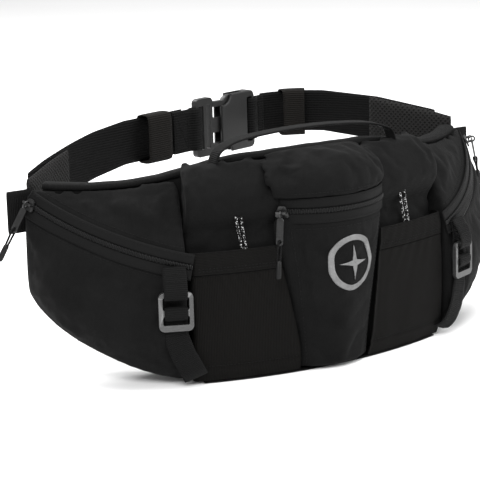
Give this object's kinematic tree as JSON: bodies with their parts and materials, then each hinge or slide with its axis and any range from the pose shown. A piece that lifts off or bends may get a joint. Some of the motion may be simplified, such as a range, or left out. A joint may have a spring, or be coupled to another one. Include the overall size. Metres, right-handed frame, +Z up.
{
  "type": "waist pack",
  "caption": "Padded waist pack with centre pocket, stretch side pockets, zipped wings, compression hooks, haul handle and webbing belt with side-release buckle.",
  "frame": {"origin": "centre of the flat base, on the surface the pack stands on", "axes": "+X to the right seen from the front, the pack's front faces -Y and the wearer stands at +Y inside the belt, +Z up"},
  "size_m": [0.4788, 0.2714, 0.1897],
  "materials": {
    "body_fabric": "tight matt nylon weave",
    "base_fabric": "coated nylon",
    "stretch_mesh": "fine ribbed stretch mesh",
    "spacer_mesh": "open three-layer spacer mesh",
    "foam": "closed-cell foam",
    "binding_tape": "grosgrain",
    "zip_tape": "coated zip tape",
    "zip_coil": "moulded coil",
    "slider_metal": "dark plated zinc",
    "pull_cord": "bonded round cord",
    "hook_metal": "gunmetal anodised",
    "webbing": "ribbed nylon webbing",
    "elastic": "ribbed elastic",
    "buckle_plastic": "moulded acetal",
    "reflective_cord": "braided with reflective fleck",
    "reflective_print": "reflective print"
  },
  "bodies": {
    "root": {"back_foam": "foam", "back_panel": "spacer_mesh", "base_panel": "base_fabric", "belt_pad_left": "spacer_mesh", "belt_pad_right": "spacer_mesh", "belt_webbing_left": "webbing", "belt_webbing_right": "webbing", "buckle_socket": "buckle_plastic", "centre_lid": "body_fabric", "centre_pocket": "body_fabric", "compression_strap_left": "webbing", "compression_strap_right": "webbing", "emblem": "reflective_print", "hook_loop_left": "webbing", "hook_loop_right": "webbing", "main_compartment": "body_fabric", "mesh_pocket_left": "stretch_mesh", "mesh_pocket_right": "stretch_mesh", "pocket_hem_left": "stretch_mesh", "pocket_hem_right": "stretch_mesh", "reflective_cord_left": "reflective_cord", "reflective_cord_right": "reflective_cord", "side_tab_left": "webbing", "side_tab_right": "webbing", "top_binding": "binding_tape", "webbing_fold_right": "webbing", "wing_pocket_left": "body_fabric", "wing_pocket_right": "body_fabric", "zip_coil_centre": "zip_coil", "zip_coil_left": "zip_coil", "zip_coil_right": "zip_coil", "zip_tape_centre": "zip_tape", "zip_tape_left": "zip_tape", "zip_tape_right": "zip_tape"},
    "zip_slider_left": {"zip_slider_left": "slider_metal"},
    "zip_puller_left": {"zip_puller_left": "slider_metal", "pull_cord_left": "pull_cord"},
    "zip_slider_right": {"zip_slider_right": "slider_metal"},
    "zip_puller_right": {"zip_puller_right": "slider_metal", "pull_cord_right": "pull_cord"},
    "zip_slider_centre": {"zip_slider_centre": "slider_metal"},
    "zip_puller_centre": {"zip_puller_centre": "slider_metal", "pull_cord_centre": "pull_cord"},
    "g_hook_left": {"g_hook_left": "hook_metal", "hook_wrap_left": "webbing"},
    "g_hook_right": {"g_hook_right": "hook_metal", "hook_wrap_right": "webbing"},
    "buckle_plug": {"buckle_plug": "buckle_plastic", "webbing_fold_left": "webbing"},
    "plug_arm_upper": {"plug_arm_upper": "buckle_plastic"},
    "plug_arm_lower": {"plug_arm_lower": "buckle_plastic"},
    "belt_keeper_left": {"belt_keeper_left": "elastic"},
    "belt_keeper_right": {"belt_keeper_right": "elastic"},
    "haul_handle": {"haul_handle": "webbing"}
  },
  "joints": [
    {"name": "zip_left_slide", "type": "hinge", "parent": "root", "child": "zip_slider_left", "pos_m": [-0.028, 0.1504, 0.1672], "axis": [0.0301, -0.4208, 0.9067], "range_deg": [0, 25.5]},
    {"name": "zip_left_pull", "type": "hinge", "parent": "zip_slider_left", "child": "zip_puller_left", "pos_m": [-0.21763, 0.07916, 0.14475], "axis": [-0.3633, 0.8404, 0.4021], "range_deg": [0, 75]},
    {"name": "zip_right_slide", "type": "hinge", "parent": "root", "child": "zip_slider_right", "pos_m": [0.028, 0.1504, 0.1672], "axis": [0.0301, 0.4208, -0.9067], "range_deg": [0, 25.5]},
    {"name": "zip_right_pull", "type": "hinge", "parent": "zip_slider_right", "child": "zip_puller_right", "pos_m": [0.21763, 0.07916, 0.14475], "axis": [-0.3633, -0.8404, -0.4021], "range_deg": [0, 75]},
    {"name": "zip_centre_slide", "type": "hinge", "parent": "root", "child": "zip_slider_centre", "pos_m": [0, 0.022, 0.133], "axis": [0, 0, 1], "range_deg": [0, 91]},
    {"name": "zip_centre_pull", "type": "hinge", "parent": "zip_slider_centre", "child": "zip_puller_centre", "pos_m": [-0.05223, -0.02756, 0.133], "axis": [-0.6884, 0.7254, 0], "range_deg": [0, 75]},
    {"name": "hook_left_tilt", "type": "hinge", "parent": "root", "child": "g_hook_left", "pos_m": [-0.13815, -0.01027, 0.078], "axis": [-0.9225, 0.3859, 0], "range_deg": [0, 18]},
    {"name": "hook_right_tilt", "type": "hinge", "parent": "root", "child": "g_hook_right", "pos_m": [0.13815, -0.01027, 0.078], "axis": [-0.9225, -0.3859, 0], "range_deg": [0, 18]},
    {"name": "buckle_release", "type": "slide", "parent": "root", "child": "buckle_plug", "axis": [-0.9613, -0.2756, 0], "range_m": [0, 0.027]},
    {"name": "arm_upper_squeeze", "type": "hinge", "parent": "buckle_plug", "child": "plug_arm_upper", "pos_m": [0.02254, 0.20114, 0.181], "axis": [-0.2756, 0.9613, 0], "range_deg": [0, 6], "stiffness_Nm_per_rad": 0.3, "springref_deg": -1.72},
    {"name": "arm_lower_squeeze", "type": "hinge", "parent": "buckle_plug", "child": "plug_arm_lower", "pos_m": [0.02254, 0.20114, 0.143], "axis": [0.2756, -0.9613, 0], "range_deg": [0, 6], "stiffness_Nm_per_rad": 0.3, "springref_deg": -1.72},
    {"name": "keeper_left_slide", "type": "slide", "parent": "root", "child": "belt_keeper_left", "axis": [-0.9613, -0.2756, 0], "range_m": [0, 0.015]},
    {"name": "keeper_right_slide", "type": "hinge", "parent": "root", "child": "belt_keeper_right", "pos_m": [0.0938, 0.16124, 0.162], "axis": [0, 0, -1], "range_deg": [-14, 17]},
    {"name": "handle_flop", "type": "hinge", "parent": "root", "child": "haul_handle", "pos_m": [0, 0.021, 0.1785], "axis": [-1, 0, 0], "range_deg": [-10, 25]}
  ],
  "couplings": [
    {"joint": "arm_lower_squeeze", "follows": "arm_upper_squeeze", "ratio": 1}
  ]
}
